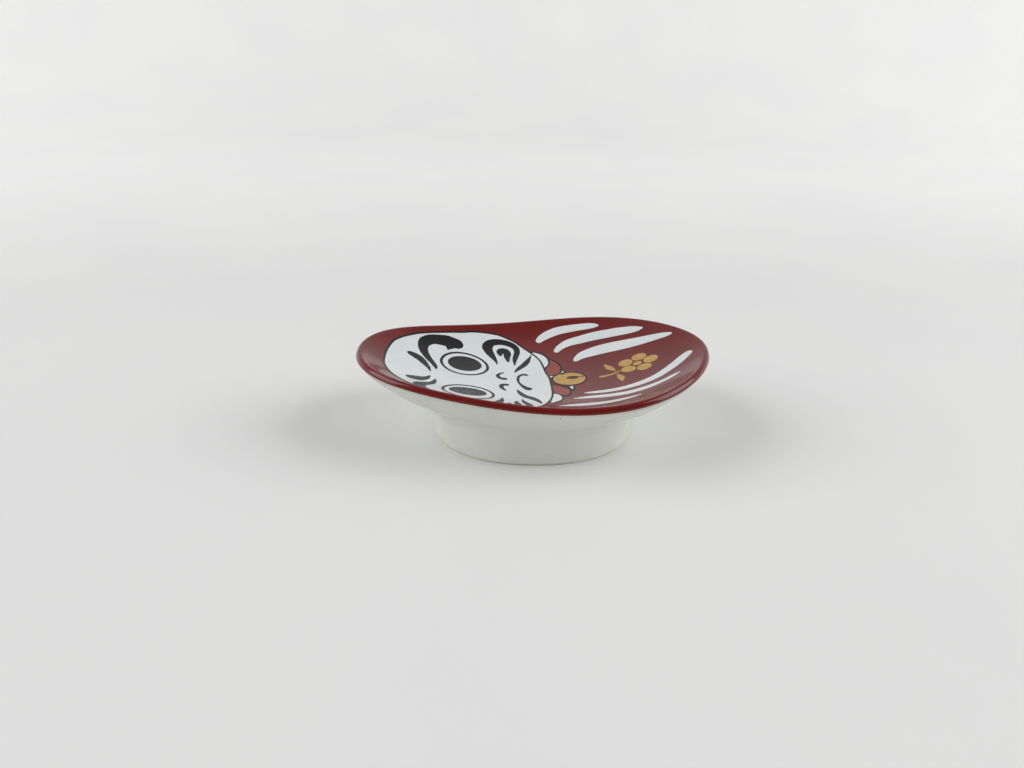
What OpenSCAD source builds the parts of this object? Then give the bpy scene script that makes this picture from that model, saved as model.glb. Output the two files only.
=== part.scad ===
// Small oval porcelain dish on a tall foot, used as a chopstick rest, painted with
// a round-eyed doll's face. The head lies towards -X and the body towards +X, the
// doll's left is +Y, +Z is up, and the origin is on the table under the middle of
// the dish. All sizes are in millimetres.

/* [Dish] */
// Length of the dish over its rim
dish_length = 60; // [54:1:66]
// Half width of the dish at the middle of its length
mid_half_width = 21.1; // [19.5:0.1:22]
// Height of the lowest point inside the dish above the table
floor_height = 7.8; // [7.5:0.1:8.8]
// Thickness of the dish above the hollow of its foot
floor_thickness = 3.6; // [3.6:0.1:4]
// Radius over the crest of the rim
crest_radius = 0.5; // [0.36:0.02:0.6]
// Radius of the flatter curve down the outer side of the rim
flank_radius = 1.2; // [0.9:0.1:1.4]
// Radius of the tight lower edge of the rim, where the red ends
edge_radius = 0.15; // [0.15:0.05:0.3]
// Depth of the underside's edge below the centre of the crest
lip_depth = 1.4; // [1.1:0.1:1.8]

/* [Bowl surface, rises at the rim] */
// Rise that grows with the square of the distance from the middle
round_rise = 3.35; // [2.6:0.05:3.8]
// Rise that grows with its fourth power and curls the surface up at the rim
curl_rise = 3; // [2.2:0.05:3.6]
// How much the two ends stand above the mean, and the two sides below it
saddle_rise = 1.32; // [0.6:0.02:1.6]
// How much the body's end stands above the head's end, halved
end_tilt = 0.35; // [0:0.05:0.6]
// Extra lift of the flanks beside the head
flank_lift = 0.11; // [0:0.01:0.2]
// Extra lift of the rim half way between its ends and its sides
corner_lift = 0.11; // [0:0.01:0.2]

/* [Foot] */
// Half length of the foot
foot_half_length = 17.2; // [15:0.1:18]
// Half width of the foot
foot_half_width = 16.2; // [13:0.1:16.5]
// Squareness of the foot's outline, where 2 is an ellipse
foot_squareness = 2.2; // [2:0.1:3]
// Wall thickness of the foot
foot_wall = 3; // [2:0.1:4]
// Depth below the dish's lowest inner point at which its underside meets the foot
foot_joint_drop = 1.7; // [1.5:0.1:1.8]
// Height of the soft fillet between the underside and the foot
fillet_height = 1.7; // [0.8:0.1:1.7]

/* [Enamel] */
// Thickness of each coat of enamel
coat = 0.08; // [0.06:0.01:0.1]
// Clearance kept between one coat and the next
coat_gap = 0.02; // [0.02:0.01:0.03]
// Width of the line around the face
face_line = 0.42; // [0.3:0.02:0.6]
// Width of the thin lines of the collar and the bell
thin_line = 0.26; // [0.2:0.02:0.3]

/* [Hidden] */

porcelain = [0.93, 0.94, 0.92];
brick_red = [0.43, 0.11, 0.10];
face_white = [0.88, 0.91, 0.90];
line_black = [0.10, 0.11, 0.12];
orange_red = [0.72, 0.28, 0.22];
ochre_gold = [0.74, 0.56, 0.28];
slit_brown = [0.30, 0.14, 0.12];

half_length = dish_length / 2;
art = dish_length / 60;      // scale of the painting, which is drawn for a 60 mm dish
round_steps = 72;            // points around the dish
ring_stops = [0.16, 0.32, 0.46, 0.58, 0.68, 0.77, 0.85, 0.92, 0.97];
crest_angles = [115, 90, 65, 40, 27, 14, -25, -65];
crest_sink = 1.25;           // depth of the crest's centre below the bowl, in crest radii
flank_turn = 40;             // angle at which the crest's curve gives way to the flank's
edge_turn = 14;              // angle at which the flank's curve gives way to the edge's
fillet_share = 0.3;          // how far out along the underside the fillet starts
underside_start = 0.8;       // how far in from the outline the underside starts
first_coat = coat_gap;       // heights of the coats' lower faces above the clay
second_coat = first_coat + coat + coat_gap;
third_coat = second_coat + coat + coat_gap;

// ---- The surface of the bowl -------------------------------------------------

// Half width of the dish at u, the place along its length from -1 to 1
function half_width(u) =
    art * (mid_half_width + 6.1 * u + 3.3 * u * u - 6.1 * pow(u, 3) - 1.2 * pow(u, 4));

// Point on the rim's outline at the angle t
function rim(t) = [half_length * cos(t), sin(t) * half_width(cos(t))];

// Height of the inner surface at x, y
function bowl(x, y) =
    let (u = x / half_length)
    let (v = y / half_width(u))
    let (r2 = u * u + v * v)
    floor_height + round_rise * r2 + curl_rise * r2 * r2 + saddle_rise * (u * u - v * v)
    + u * (end_tilt * r2 + flank_lift * (u * u - 3 * v * v))
    - corner_lift * (pow(u, 4) - 6 * u * u * v * v + pow(v, 4));

function unit(p) = p / norm(p);
function across(p) = [p.y, -p.x];

// Outward direction of the rim's outline at t, and the outline moved in by d
function outward(t) = unit(across(rim(t + 1) - rim(t - 1)));
function inset(t, d) = rim(t) - d * outward(t);

// The rim's section is three arcs: over the crest, down the flank, around the edge.
// Their centres are given as [out, up] from the centre of the crest's arc.
function toward(a) = [cos(a), sin(a)];
flank_centre = (crest_radius - flank_radius) * toward(flank_turn);
edge_centre = flank_centre + (flank_radius - edge_radius) * toward(edge_turn);
crest_inset = edge_centre.x + edge_radius;

// Place on the section at the angle a above the outward level, h out from the clay
function rim_section(a, h) =
    a >= flank_turn ? (crest_radius + h) * toward(a)
    : a >= edge_turn ? flank_centre + (flank_radius + h) * toward(a)
    : edge_centre + (edge_radius + h) * toward(a);

// Height of the centre of the crest's arc
function crest_height(t) =
    let (p = inset(t, crest_inset))
    bowl(p.x, p.y) - crest_sink * crest_radius;

// Point on the rim at the angle a, h out from the clay
function crest_point(t, a, h) =
    let (c = inset(t, crest_inset))
    let (n = outward(t))
    let (q = rim_section(a, h))
    [c.x + n.x * q.x, c.y + n.y * q.x, crest_height(t) + q.y];

// Point of the inner surface, at the share s of the way out to the crest
function bowl_point(t, s, h) =
    let (p = s * inset(t, crest_inset * 1.35))
    [p.x, p.y, bowl(p.x, p.y) + h];

// Outline of the foot, moved in by d
function foot_point(t, d) =
    let (k = 2 / foot_squareness)
    [
        (foot_half_length - d) * sign(cos(t)) * pow(abs(cos(t)), k),
        (foot_half_width - d) * sign(sin(t)) * pow(abs(sin(t)), k)
    ];

// Point of the underside, at the share s of the way from the foot to the rim
function underside_point(t, s) =
    let (outer = inset(t, underside_start))
    let (inner = foot_point(t, 0))
    let (p = inner + (outer - inner) * s)
    let (low = floor_height - foot_joint_drop)
    let (high = crest_height(t) - lip_depth)
    [p.x, p.y, low + (high - low) * (0.65 * s + 0.35 * pow(s, 3))];

// Fillet between the underside and the foot's wall, s from 0 at the wall to 1
function fillet_point(t, s) =
    let (edge = underside_point(t, fillet_share))
    let (wall = foot_point(t, 0))
    let (low = floor_height - foot_joint_drop)
    let (drop = fillet_height * (1 - s) * (1 - s))
    let (p = wall + ([edge.x, edge.y] - wall) * s * s)
    [p.x, p.y, low - drop + (edge.z - low) * s * s];

// ---- Solids made from loops of points ------------------------------------------

// A closed solid that starts at a point, runs through loops of equal length, and
// ends at a point. The loops turn anticlockwise as seen from the start point, and
// each face is listed clockwise as seen from outside.
module tapered_solid(start, loops, end) {
    n = len(loops[0]);
    last = len(loops) - 1;
    points = concat([start], [for (loop = loops) each loop], [end]);
    first_fan = [for (j = [0 : n - 1]) [0, 1 + (j + 1) % n, 1 + j]];
    sides = [
        for (i = [0 : last - 1], j = [0 : n - 1])
        let (a = 1 + i * n + j, b = 1 + i * n + (j + 1) % n)
        each [[a, b, a + n], [b, b + n, a + n]]
    ];
    tip = len(points) - 1;
    last_fan = [for (j = [0 : n - 1]) [tip, 1 + last * n + j, 1 + last * n + (j + 1) % n]];
    polyhedron(points, concat(first_fan, sides, last_fan));
}

// A closed solid like a bent ring, whose loops follow one another and close up
module looped_solid(loops) {
    n = len(loops[0]);
    m = len(loops);
    points = [for (loop = loops) each loop];
    faces = [
        for (i = [0 : m - 1], j = [0 : n - 1])
        let (i2 = (i + 1) % m, j2 = (j + 1) % n)
        let (a = i * n + j, b = i * n + j2, c = i2 * n + j, d = i2 * n + j2)
        each [[a, b, c], [b, d, c]]
    ];
    polyhedron(points, faces);
}

function turn(steps) = [for (i = [0 : steps - 1]) i * 360 / steps];

// ---- Smooth curves through hand-placed points ----------------------------------

function curve(a, b, c, d, f) =
    0.5 * (2 * b + (c - a) * f + (2 * a - 5 * b + 4 * c - d) * f * f
    + (3 * b - 3 * c + d - a) * pow(f, 3));

// Smooth open curve through the stations p, with n steps between two of them
function open_curve(p, n) =
    let (last = len(p) - 1)
    [
        for (i = [0 : last - 1], k = [0 : n - 1])
        curve(p[max(i - 1, 0)], p[i], p[i + 1], p[min(i + 2, last)], k / n),
        p[last]
    ];

// Smooth closed curve through the points p
function closed_curve(p, n) =
    let (m = len(p))
    [
        for (i = [0 : m - 1], k = [0 : n - 1])
        curve(p[(i + m - 1) % m], p[i], p[(i + 1) % m], p[(i + 2) % m], k / n)
    ];

// Ellipse around the centre c
function ellipse(c, rx, ry, steps) =
    [for (t = turn(steps)) [c.x + rx * cos(t), c.y + ry * sin(t)]];

// ---- Enamel marks that follow the bowl -----------------------------------------

// Point h above the bowl, at a place of the painting
function laid(p, h) = [p.x * art, p.y * art, bowl(p.x * art, p.y * art) + h];

// Cross section of a line: three points on top and three below
function section(c, side, w, low) =
    let (left = c - side * w / 2, right = c + side * w / 2)
    [
        laid(right, low + coat), laid(c, low + coat), laid(left, low + coat),
        laid(left, low), laid(c, low), laid(right, low)
    ];

// A brush stroke with round ends. Each station is [x, y, width].
module stroke(stations, low, steps = 3) {
    path = open_curve(stations, steps);
    last = len(path) - 1;
    spots = [for (q = path) [q.x, q.y]];
    ways = [
        for (i = [0 : last])
        unit(spots[min(i + 1, last)] - spots[max(i - 1, 0)])
    ];
    tail = path[0].z / 2;
    head = path[last].z / 2;
    back = -ways[0];
    on = ways[last];
    loops = [
        for (a = [60, 30])
        section(spots[0] + back * tail * sin(a), across(ways[0]), 2 * tail * cos(a), low),
        for (i = [0 : last])
        section(spots[i], across(ways[i]), path[i].z, low),
        for (a = [30, 60])
        section(spots[last] + on * head * sin(a), across(on), 2 * head * cos(a), low)
    ];
    middle = low + coat / 2;
    start = laid(spots[0] + back * tail, middle);
    end = laid(spots[last] + on * head, middle);
    tapered_solid(start, loops, end);
}

// A line of even width along a closed outline
module closed_line(outline, w, low) {
    n = len(outline);
    looped_solid([
        for (i = [0 : n - 1])
        let (way = unit(outline[(i + 1) % n] - outline[(i + n - 1) % n]))
        section(outline[i], across(way), w, low)
    ]);
}

// A filled patch inside an outline that turns anticlockwise around the centre c
module patch(c, outline, low, shares = [0.5, 1]) {
    last = len(shares) - 1;
    top = [for (s = shares) [for (p = outline) laid(c + (p - c) * s, low + coat)]];
    bottom = [
        for (k = [last : -1 : 0])
        [for (p = outline) laid(c + (p - c) * shares[k], low)]
    ];
    tapered_solid(laid(c, low + coat), concat(top, bottom), laid(c, low));
}

// ---- Clay ----------------------------------------------------------------------

module dish_body() {
    stops = turn(round_steps);
    under = floor_height - floor_thickness;
    loops = concat(
        [for (s = ring_stops) [for (t = stops) bowl_point(t, s, 0)]],
        [for (a = concat(crest_angles, [-90])) [for (t = stops) crest_point(t, a, 0)]],
        [for (s = [1, 0.82, 0.64, 0.46, fillet_share]) [for (t = stops) underside_point(t, s)]],
        [for (s = [0.8, 0.6, 0.4, 0.2, 0]) [for (t = stops) fillet_point(t, s)]],
        [
            for (d = [0, foot_wall, foot_half_width * 0.6])
            [for (t = stops) concat(foot_point(t, d), under)]
        ]
    );
    color(porcelain)
    tapered_solid([0, 0, floor_height], loops, [0, 0, under]);
}

module foot_ring() {
    top = floor_height - floor_thickness;
    stops = turn(round_steps);
    color(porcelain)
    difference() {
        linear_extrude(height = top)
        polygon([for (t = stops) foot_point(t, 0)]);
        translate([0, 0, -1])
        linear_extrude(height = top + 2)
        polygon([for (t = stops) foot_point(t, foot_wall)]);
    }
}

// ---- Enamel --------------------------------------------------------------------

// The red ground covers the bowl, wraps over the rim and stops on its outer side
module red_ground() {
    stops = turn(round_steps);
    high = first_coat + coat;
    back = [for (i = [len(crest_angles) - 1 : -1 : 0]) crest_angles[i]];
    inward = [for (i = [len(ring_stops) - 1 : -1 : 0]) ring_stops[i]];
    loops = concat(
        [for (s = ring_stops) [for (t = stops) bowl_point(t, s, high)]],
        [for (a = crest_angles) [for (t = stops) crest_point(t, a, high)]],
        [for (a = back) [for (t = stops) crest_point(t, a, first_coat)]],
        [for (s = inward) [for (t = stops) bowl_point(t, s, first_coat)]]
    );
    color(brick_red)
    tapered_solid([0, 0, floor_height + high], loops, [0, 0, floor_height + first_coat]);
}

face_centre = [-11, 0];
face_points = [
    [2.9, 0.5], [2.7, 5.5], [1.4, 10.5], [-1.4, 14.8], [-5.5, 16.6], [-11, 16.2],
    [-16, 14.8], [-20.5, 12.5], [-23.8, 8.8], [-25.4, 3.5], [-25.3, -2], [-23.4, -7.2],
    [-19, -11.8], [-13.5, -14.9], [-7, -16.2], [-2.2, -14.8], [0.9, -11.6], [2.6, -6.5]
];

module face_panel() {
    color(face_white)
    patch(face_centre, closed_curve(face_points, 3), second_coat, [0.2, 0.4, 0.6, 0.8, 1]);
}

module face_outline() {
    color(line_black)
    closed_line(closed_curve(face_points, 4), face_line, third_coat);
}

// A brow is a thick hook over the eye, with its thin end near the bridge of the nose
left_brow_line = [
    [-16.7, 3, 0.5], [-16.9, 4.6, 1], [-17.7, 6.8, 1.4], [-18.7, 9, 1.8], [-18.7, 11, 2.4],
    [-17.2, 12.5, 2.6], [-15, 12.6, 2.9], [-13.4, 12.1, 3.3]
];
right_brow_line = [
    [-16.8, -2.5, 0.5], [-17, -3.5, 0.9], [-17.8, -4.7, 1.2], [-19, -6.2, 1.7],
    [-19.6, -8.2, 2.1], [-18.9, -10.5, 2.4], [-16.8, -12.2, 2.6], [-14, -12.3, 3]
];

module brow(line) {
    color(line_black)
    stroke(line, third_coat);
}

left_forehead_line = [
    [-21, 6, 1.5], [-20.3, 5.7, 1.8], [-19.4, 4.9, 1.7], [-18.6, 3.7, 1.3],
    [-18, 2.5, 0.7], [-17.6, 1.4, 0.2]
];
right_forehead_line = [
    [-20.7, -4.3, 1.8], [-19.9, -4.1, 1.9], [-19, -3.5, 1.5], [-18.2, -2.5, 0.8],
    [-17.7, -1.4, 0.2]
];

module forehead_mark(line) {
    color(line_black)
    stroke(line, third_coat);
}

left_eye = [-11.6, 6.3];
right_eye = [-11.4, -6.6];

module eye_ring(c, rx, ry) {
    color(line_black)
    closed_line(ellipse(c, rx, ry, 36), 0.48, third_coat);
}

module pupil(c, rx, ry) {
    color(line_black)
    patch(c, ellipse(c, rx, ry, 30), third_coat, [0.35, 0.7, 1]);
}

left_nostril_line = [
    [-4.9, 3.9, 0.3], [-5.5, 3.3, 0.45], [-5.7, 2.6, 0.5], [-5.5, 2, 0.55], [-4.9, 1.6, 0.65]
];
right_nostril_line = [
    [-4.7, -1.1, 0.75], [-5.3, -1.3, 0.7], [-5.7, -2.1, 0.6], [-5.5, -3, 0.5], [-5, -3.7, 0.3]
];

module nostril(line) {
    color(line_black)
    stroke(line, third_coat);
}

// A cheek arch is a bow over the cheek, and a short curl sits inside it
left_arch_line = [
    [-5.6, 7.6, 0.3], [-6.1, 9.4, 1], [-6.9, 11.2, 1.7], [-7.2, 13, 2], [-6.2, 14.5, 1.8],
    [-4.3, 14.9, 1.5], [-2.5, 14.2, 1.4], [-1.6, 12.7, 1.2], [-1.9, 10.6, 0.9],
    [-2.4, 8.8, 0.6], [-2.5, 7.5, 0.25]
];
right_arch_line = [
    [-5.7, -8, 0.3], [-6.2, -9.6, 1], [-6.9, -11.2, 1.6], [-7.1, -12.9, 1.9], [-6.2, -14.2, 1.7],
    [-4.3, -14.6, 1.4], [-2.6, -13.9, 1.3], [-1.8, -12.5, 1.1], [-2.1, -10.8, 0.9],
    [-2.5, -9.4, 0.6], [-2.6, -8.3, 0.25]
];
left_curl_line = [
    [-5, 11.4, 0.7], [-4.8, 12.3, 1.1], [-4.1, 12.4, 1.3], [-3.65, 11.5, 1.2],
    [-3.6, 10.3, 0.9], [-3.45, 9, 0.35]
];
right_curl_line = [
    [-5.1, -11.6, 0.7], [-4.9, -12.5, 1.1], [-4.2, -12.5, 1.3], [-3.8, -11.6, 1.1],
    [-3.8, -10.6, 0.8], [-3.7, -9.5, 0.35]
];

module cheek_arch(line) {
    color(line_black)
    stroke(line, third_coat);
}

module cheek_curl(line) {
    color(line_black)
    stroke(line, third_coat);
}

mouth_line = [
    [-0.9, 3.3, 0.75], [-1.6, 3.1, 0.6], [-2.2, 2.2, 0.45], [-2.4, 0.9, 0.4], [-2.2, -0.7, 0.5],
    [-1.8, -2, 0.8], [-1.2, -3, 1.15]
];

module mouth() {
    color(line_black)
    stroke(mouth_line, third_coat);
}

left_chin_line = [
    [-2.6, 4.6, 0.4], [-2.1, 5.7, 0.9], [-1.2, 6.8, 1.2], [-0.3, 8, 1.2], [0.3, 9.3, 0.8],
    [0.8, 10.8, 0.25]
];
right_chin_line = [
    [-2.8, -4.1, 0.4], [-2.4, -5.3, 0.8], [-1.7, -6.6, 1.1], [-0.9, -7.8, 1.2],
    [-0.3, -9, 0.9], [0.3, -10.5, 0.3]
];

module chin_stroke(line) {
    color(line_black)
    stroke(line, third_coat);
}

// ---- Collar and bell -----------------------------------------------------------

left_white_lobe = [
    [2.45, 8], [3.1, 6.6], [3.6, 7.4], [3.8, 8.6], [3.5, 10.1], [2.7, 11.3], [1.75, 11.6],
    [1.85, 10]
];
right_white_lobe = [
    [2.3, -9.2], [2.05, -10.6], [2.8, -10], [3.6, -9], [4.1, -7.6], [3.9, -6.5], [3.2, -5.8],
    [2.75, -7.4]
];
left_red_lobe = [
    [3.15, 3], [4, 3.2], [4.9, 4], [5.5, 5.2], [5.55, 6.6], [5, 8.1], [4.25, 8.8], [4, 7.7],
    [3.3, 6]
];
right_red_lobe = [
    [3.25, -4.9], [4.2, -6], [4.6, -7], [5.1, -6.7], [5.65, -5.3], [5.7, -3.8], [5, -2.5],
    [4.1, -1.9], [3.3, -1.7]
];
white_slivers = [
    [[6.4, 3.9], [6.25, 4.5], [5.95, 4.8], [5.8, 4.2], [6, 3.8]],
    [[6.5, -4.1], [6.85, -3], [6.8, -2.6], [6.25, -2.6], [6.2, -3]],
    [[4.1, 2.55], [3.75, 2.8], [3.35, 2.6], [3.5, 2.25], [3.95, 2.15]]
];

module collar_white() {
    color(face_white) {
        patch([2.9, 9.2], closed_curve(left_white_lobe, 2), second_coat);
        patch([3.2, -7.8], closed_curve(right_white_lobe, 2), second_coat);
        patch([6.1, 4.2], white_slivers[0], second_coat);
        patch([6.5, -3.1], white_slivers[1], second_coat);
        patch([3.7, 2.5], white_slivers[2], second_coat);
    }
}

module collar_red() {
    color(orange_red) {
        patch([4.3, 5.8], closed_curve(left_red_lobe, 2), second_coat);
        patch([4.5, -4.2], closed_curve(right_red_lobe, 2), second_coat);
    }
}

collar_lines = [
    [[1.6, 11.9], [2.9, 11.5], [3.8, 10], [4, 8.5], [3.7, 7.1], [3.2, 6.3]],
    [[4.1, 9.4], [5.2, 8.3], [5.75, 6.6], [5.6, 4.9], [4.9, 3.6], [4.2, 3.1]],
    [[6.15, 5.2], [6.55, 4.5], [6.75, 3.9]],
    [[3.3, -5.4], [4, -6.2], [4.3, -7.5], [3.8, -9.1], [2.9, -10.3], [2.1, -11]],
    [[4.3, -1.6], [5.2, -2.3], [5.9, -3.8], [5.9, -5.4], [5.3, -6.9], [4.5, -8.1]],
    [[6.05, -2.7], [6.45, -4.3]],
    [[7.1, -2.7], [6.75, -3.9]]
];

module collar_outline() {
    color(line_black)
    for (line = collar_lines) {
        stroke([for (p = line) [p.x, p.y, thin_line]], third_coat, 2);
    }
}

bell_centre = [6.75, 0.85];

module bell() {
    color(ochre_gold)
    patch(bell_centre, ellipse(bell_centre, 2.85, 2.45, 30), second_coat, [0.35, 0.7, 1]);
}

slit_centre = [7.3, 1.35];

// The lines run around the bell, around its slit, and from the slit to the edge
module bell_outline() {
    color(line_black) {
        closed_line(ellipse(bell_centre, 2.95, 2.55, 36), thin_line, third_coat);
        closed_line(ellipse(slit_centre, 0.95, 0.5, 24), 0.2, third_coat);
        stroke([[8.52, 1.4, 0.2], [9.15, 1.45, 0.2]], third_coat);
    }
}

module bell_slit() {
    color(slit_brown)
    patch(slit_centre, ellipse(slit_centre, 0.8, 0.35, 20), third_coat);
}

// ---- Gold sprig and white stripes ----------------------------------------------

blossom_centre = [19, 2.4];
petal_reach = 2.35;

module blossom_sprig() {
    color(ochre_gold) {
        for (a = turn(5)) {
            c = blossom_centre + petal_reach * [cos(a), sin(a)];
            patch(c, ellipse(c, 1.25, 1.25, 20), second_coat);
        }
        patch(blossom_centre, ellipse(blossom_centre, 0.8, 0.8, 16), second_coat);
        stroke([[15.2, 1, 0.5], [13.9, 0.2, 0.6], [12.6, 0, 0.7]], second_coat);
        stroke([[14.6, 2.1, 0.5], [13.9, 3.4, 1.2], [13.4, 4.9, 0.5]], second_coat);
        stroke([[14.9, -0.7, 0.5], [15.3, -2, 1.1], [15.2, -3.3, 0.5]], second_coat);
    }
}

left_stripe_lines = [
    [
        [3, 16, 1.3], [3.9, 17.1, 1.7], [5.6, 18, 1.8], [8.5, 18.7, 1.8], [11.4, 18.7, 1.5],
        [14, 18.1, 0.8]
    ],
    [
        [6, 12.6, 1.2], [7.1, 13.7, 1.8], [9, 14.7, 2], [12, 15.4, 2.2], [15.5, 15.2, 2.3],
        [18.5, 14.5, 1.9], [21.4, 13.4, 0.8]
    ],
    [
        [9, 8.9, 1.6], [10.2, 9.8, 2.5], [12.6, 10.6, 3], [16, 10.8, 3.1], [19.4, 10.1, 2.8],
        [22.4, 9.1, 1.9], [25.4, 7.7, 0.8]
    ]
];
right_stripe_lines = [
    [
        [8.6, -6.2, 0.6], [11, -6.5, 0.8], [14.5, -6.7, 1.2], [18, -6.2, 1.6],
        [21.5, -4.9, 1.9], [24.3, -3.1, 2], [26.2, -1.8, 1.9]
    ],
    [
        [6.4, -8.5, 0.4], [9, -8.7, 0.8], [12.5, -9.3, 1.2], [16, -9.5, 1.3],
        [19.5, -9.1, 1.2], [22, -8.4, 0.9], [23.2, -8, 0.6]
    ],
    [
        [3.6, -12.1, 0.9], [6, -12.5, 1.5], [9.5, -12.9, 1.6], [13, -12.8, 1.1],
        [15.6, -12.4, 0.5]
    ]
];

module stripes(lines) {
    color(face_white)
    for (line = lines) {
        stroke(line, second_coat);
    }
}

// ---- Nodes ---------------------------------------------------------------------

dish_body();
foot_ring();
red_ground();
face_panel();
face_outline();
brow(left_brow_line);  // left_brow
brow(right_brow_line);  // right_brow
forehead_mark(left_forehead_line);  // left_forehead_mark
forehead_mark(right_forehead_line);  // right_forehead_mark
eye_ring(left_eye, 4.15, 4);  // left_eye_ring
eye_ring(right_eye, 4.2, 3.8);  // right_eye_ring
pupil(left_eye, 3.05, 2.6);  // left_pupil
pupil(right_eye, 3.1, 2.2);  // right_pupil
nostril(left_nostril_line);  // left_nostril
nostril(right_nostril_line);  // right_nostril
cheek_arch(left_arch_line);  // left_cheek_arch
cheek_arch(right_arch_line);  // right_cheek_arch
cheek_curl(left_curl_line);  // left_cheek_curl
cheek_curl(right_curl_line);  // right_cheek_curl
mouth();
chin_stroke(left_chin_line);  // left_chin_stroke
chin_stroke(right_chin_line);  // right_chin_stroke
collar_white();
collar_red();
collar_outline();
bell();
bell_outline();
bell_slit();
blossom_sprig();
stripes(left_stripe_lines);  // left_stripes
stripes(right_stripe_lines);  // right_stripes
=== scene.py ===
import math

import bmesh
import bpy
import numpy as np
from mathutils import Matrix, Vector


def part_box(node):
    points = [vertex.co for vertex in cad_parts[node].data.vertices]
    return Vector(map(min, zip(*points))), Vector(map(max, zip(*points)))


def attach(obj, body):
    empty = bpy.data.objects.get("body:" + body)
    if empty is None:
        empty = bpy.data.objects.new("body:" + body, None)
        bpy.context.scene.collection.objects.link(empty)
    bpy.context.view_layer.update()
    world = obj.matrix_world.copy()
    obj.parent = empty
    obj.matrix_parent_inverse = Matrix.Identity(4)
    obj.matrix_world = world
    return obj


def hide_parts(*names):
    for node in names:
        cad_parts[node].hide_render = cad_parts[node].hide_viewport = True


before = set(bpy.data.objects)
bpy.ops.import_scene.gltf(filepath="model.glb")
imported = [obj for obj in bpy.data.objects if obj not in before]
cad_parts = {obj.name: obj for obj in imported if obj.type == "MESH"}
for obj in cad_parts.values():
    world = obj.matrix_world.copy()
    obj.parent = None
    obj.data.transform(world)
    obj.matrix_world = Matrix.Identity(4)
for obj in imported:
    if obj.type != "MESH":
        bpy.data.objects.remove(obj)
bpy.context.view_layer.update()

# The shapes are worked out in millimetres, and make_piece() turns them into metres.
# The head lies towards -X, the body towards +X, and the doll's left is +Y.
MM = 0.001


# ---- Sizes that come from the frame ----------------------------------------------

dish_low, dish_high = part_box("dish_body")
foot_low, foot_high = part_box("foot_ring")

HALF_LENGTH = (dish_high.x - dish_low.x) / 2 / MM
ART = HALF_LENGTH / 30    # the painting is drawn for a dish 60 mm long
FOOT_HALF_LENGTH = (foot_high.x - foot_low.x) / 2 / MM
FOOT_HALF_WIDTH = (foot_high.y - foot_low.y) / 2 / MM
FOOT_TOP = foot_high.z / MM

# ---- Shape of the clay -----------------------------------------------------------

FLOOR_HEIGHT = 7.8        # lowest point inside the dish
CREST_RADIUS = 0.5        # roundness over the rim's crest
CREST_SINK = 1.25         # centre of the crest's arc below the bowl, in crest radii
FLANK_RADIUS = 1.2        # flatter curve down the rim's outer side
FLANK_TURN = 40           # angle at which the crest's arc gives way to the flank's
EDGE_RADIUS = 0.15        # tight lower edge of the rim
EDGE_TURN = 14            # angle at which the flank's arc gives way to the edge's
UNDERSIDE_START = 0.8     # how far in from the outline the underside starts
LIP_DEPTH = 1.4           # underside's edge below the centre of the crest's arc
UNDERSIDE_CURL = 0.35     # share of the underside's rise that comes late, near the rim
FOOT_SQUARENESS = 2.2
FOOT_WALL = 3.0
JOINT_DROP = 1.7          # underside's level at the foot, below the lowest point inside
FILLET_HEIGHT = 1.7       # soft fillet between the underside and the foot
FILLET_SHARE = 0.3        # how far out along the underside the fillet starts
FOOT_EDGE = 0.45          # rounding at the foot's bottom edge
FOOT_DRAFT = 0.12         # how much narrower the foot is at its bottom

# Half width of the dish, as terms for the powers 0 to 4 of the place along it
HALF_WIDTH_TERMS = (21.1, 6.1, 3.3, -6.1, -1.2)

# Rise of the bowl from its lowest point
ROUND_RISE = 3.35         # grows with the square of the distance from the middle
CURL_RISE = 3             # grows with its fourth power
SADDLE_RISE = 1.32        # the two ends above the mean, and the two sides below it
END_TILT = 0.35           # the body's end above the head's end
FLANK_LIFT = 0.11         # the flanks beside the head
CORNER_LIFT = 0.11        # the rim half way between its ends and its sides

AROUND = 288              # points around the dish

# Heights of the enamel coats above the clay, as (lower face, upper face)
RED_COAT = (0.01, 0.06)
COLOUR_COAT = (0.065, 0.085)
LINE_COAT = (0.09, 0.105)


def half_width(u):
    """Half width of the dish at u, which runs from -1 at the head to 1 at the body."""
    return ART * sum(term * u**power for power, term in enumerate(HALF_WIDTH_TERMS))


def bowl(x, y):
    """Height of the clay inside the dish."""
    u = x / HALF_LENGTH
    v = y / half_width(u)
    r2 = u * u + v * v
    rise = ROUND_RISE * r2 + CURL_RISE * r2 * r2 + SADDLE_RISE * (u * u - v * v)
    tilt = u * (END_TILT * r2 + FLANK_LIFT * (u * u - 3 * v * v))
    corners = CORNER_LIFT * (u**4 - 6 * u * u * v * v + v**4)
    return FLOOR_HEIGHT + rise + tilt - corners


def laid(x, y, height):
    """Points at that height above the bowl, measured square to it."""
    step = 0.01    # for the slopes, which are taken between points on both sides
    slope_x = (bowl(x + step, y) - bowl(x - step, y)) / (2 * step)
    slope_y = (bowl(x, y + step) - bowl(x, y - step)) / (2 * step)
    length = np.sqrt(1 + slope_x**2 + slope_y**2)
    return np.stack([
        x - height * slope_x / length,
        y - height * slope_y / length,
        bowl(x, y) + height / length,
    ], axis=-1)


def turn(count):
    """Angles of that many equal steps around a circle."""
    return np.arange(count) * 2 * math.pi / count


AROUND_ANGLES = turn(AROUND)


def rim():
    """The dish's outline seen from above."""
    u = np.cos(AROUND_ANGLES)
    return np.stack([HALF_LENGTH * u, np.sin(AROUND_ANGLES) * half_width(u)], axis=-1)


RIM = rim()


def outward():
    """Direction that points away from the dish at each point of its outline."""
    along = np.roll(RIM, -1, axis=0) - np.roll(RIM, 1, axis=0)
    along /= np.linalg.norm(along, axis=1, keepdims=True)
    return np.stack([along[:, 1], -along[:, 0]], axis=-1)


OUTWARD = outward()


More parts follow.
